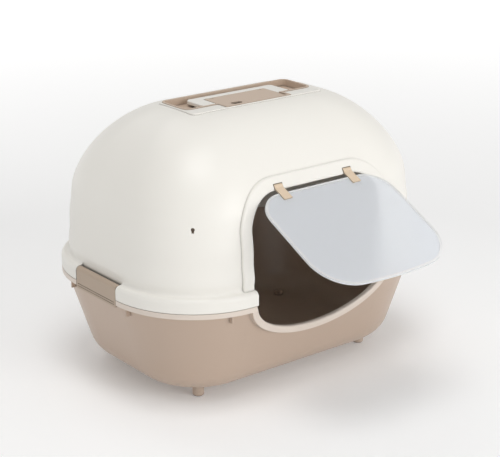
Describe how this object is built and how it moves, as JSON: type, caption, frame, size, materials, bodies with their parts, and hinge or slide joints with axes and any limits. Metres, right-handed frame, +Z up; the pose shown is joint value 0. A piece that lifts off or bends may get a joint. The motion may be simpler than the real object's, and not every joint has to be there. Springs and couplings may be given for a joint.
{
  "type": "covered litter box",
  "caption": "Covered litter box: oval tub on feet, latched rounded hood with a swinging frosted flap, folding carry handle and a lidded filter well in the top.",
  "frame": {"origin": "on the floor, at the centre of the four feet", "axes": "+Z up from the floor, the doorway faces -Y, +X to the right of someone who stands in front of the doorway and faces it"},
  "size_m": [0.62, 0.633, 0.4762],
  "materials": {
    "white_plastic": "satin",
    "beige_plastic": "satin",
    "frosted_plastic": "frosted translucent",
    "filter_pad": "matte foam",
    "pin_plastic": "smooth"
  },
  "bodies": {
    "base": {"base_tray": "beige_plastic", "foot_front_left": "beige_plastic", "foot_front_right": "beige_plastic", "foot_back_left": "beige_plastic", "foot_back_right": "beige_plastic"},
    "hood": {"hood_shell": "white_plastic", "top_tray": "beige_plastic", "carbon_filter": "filter_pad", "lid_pin": "pin_plastic", "latch_pin_left": "pin_plastic", "latch_pin_right": "pin_plastic"},
    "flap": {"flap_panel": "frosted_plastic", "flap_clip_left": "beige_plastic", "flap_clip_right": "beige_plastic"},
    "latch_left_lever": {"latch_left": "beige_plastic"},
    "latch_right_lever": {"latch_right": "beige_plastic"},
    "handle": {"carry_handle": "white_plastic", "handle_pin_left": "pin_plastic", "handle_pin_right": "pin_plastic"},
    "lid": {"filter_lid": "beige_plastic"}
  },
  "joints": [
    {"name": "hood_lift", "type": "slide", "parent": "base", "child": "hood", "axis": [0, 0, 1], "range_m": [0, 0.25]},
    {"name": "flap_swing", "type": "hinge", "parent": "hood", "child": "flap", "pos_m": [0, -0.19138, 0.36947], "axis": [1, 0, 0], "range_deg": [-34, 138]},
    {"name": "latch_left_swing", "type": "hinge", "parent": "hood", "child": "latch_left_lever", "pos_m": [-0.303, 0, 0.205], "axis": [0, 1, 0], "range_deg": [0, 100]},
    {"name": "latch_right_swing", "type": "hinge", "parent": "hood", "child": "latch_right_lever", "pos_m": [0.303, 0, 0.205], "axis": [0, -1, 0], "range_deg": [0, 100]},
    {"name": "handle_fold", "type": "hinge", "parent": "hood", "child": "handle", "pos_m": [0, -0.017, 0.4709], "axis": [1, 0, 0], "range_deg": [0, 95]},
    {"name": "lid_swing", "type": "hinge", "parent": "hood", "child": "lid", "pos_m": [0, 0.0156, 0.4714], "axis": [-1, 0, 0], "range_deg": [0, 85]}
  ]
}
